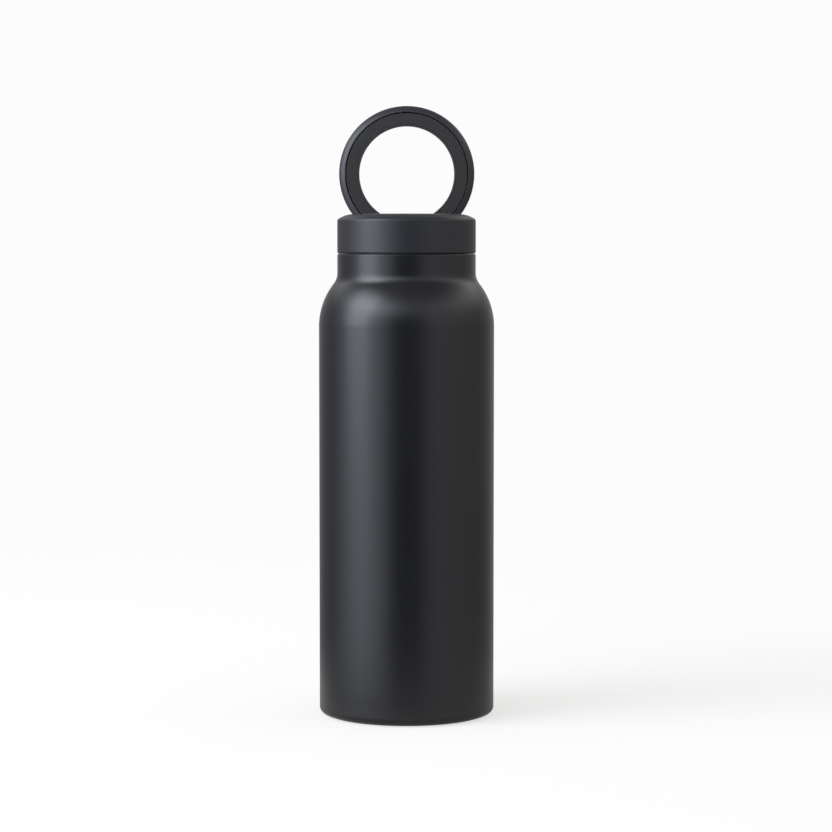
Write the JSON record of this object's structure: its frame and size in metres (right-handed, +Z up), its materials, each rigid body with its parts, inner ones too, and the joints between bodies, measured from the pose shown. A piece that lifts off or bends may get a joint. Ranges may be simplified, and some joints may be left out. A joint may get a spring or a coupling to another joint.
{
  "type": "insulated water bottle",
  "caption": "Double-walled vacuum water bottle with a screw lid and a magnetic ring that stands up as a carry loop and phone mount, or folds flat onto the lid.",
  "frame": {"origin": "centre of the base, on the plane the bottle stands on", "axes": "+Z up along the bottle's axis; the ring's hinge is at the back (+Y) and the ring folds forward (-Y)"},
  "size_m": [0.076, 0.076, 0.2656],
  "materials": {
    "powder_coat": "matte black powder coat with a very fine texture",
    "lid_coat": "matte black with a very fine texture",
    "ring_coat": "matte black powder coat",
    "ring_face": "flat dark soft-touch face",
    "silicone": "matte silicone",
    "plug_plastic": "moulded polypropylene",
    "flask_steel": "brushed stainless steel",
    "fastener_steel": "plain stainless steel",
    "bracket_metal": "blackened die-cast metal",
    "bush_bronze": "sintered bronze",
    "copper": "bright copper film",
    "getter_metal": "dull grey sintered tablet",
    "solder": "dull solder",
    "foam": "rigid insulating foam",
    "magnet_plating": "nickel plating"
  },
  "bodies": {
    "bottle": {"outer_shell": "powder_coat", "outer_base": "powder_coat", "base_pad": "silicone", "inner_flask": "flask_steel", "copper_foil": "copper", "getter": "getter_metal", "getter_clip": "flask_steel", "port_seal": "solder"},
    "seal": {"mouth_gasket": "silicone"},
    "lid": {"lid_shell": "lid_coat", "plug_body": "plug_plastic", "plug_foam": "foam", "plug_liner": "flask_steel", "plug_screws": "fastener_steel", "hinge_bracket": "bracket_metal", "bracket_screws": "fastener_steel", "hinge_bushes": "bush_bronze", "friction_washers": "fastener_steel"},
    "ring": {"ring_frame": "ring_coat", "ring_cover": "ring_face", "ring_magnets": "magnet_plating", "ring_yoke": "fastener_steel", "grip_pad": "silicone", "hinge_pin": "fastener_steel"}
  },
  "joints": [
    {"name": "lid_lift", "type": "slide", "parent": "bottle", "child": "seal", "axis": [0, 0, 1], "range_m": [0, 0.0201]},
    {"name": "lid_turn", "type": "hinge", "parent": "seal", "child": "lid", "pos_m": [0, 0, 0.2011], "axis": [0, 0, 1], "range_deg": [0, 900]},
    {"name": "ring_fold", "type": "hinge", "parent": "lid", "child": "ring", "pos_m": [0, 0.02088, 0.21472], "axis": [1, 0, 0], "range_deg": [0, 90]}
  ],
  "couplings": [
    {"joint": "lid_lift", "follows": "lid_turn", "m_per_rad": 0.0012732}
  ]
}
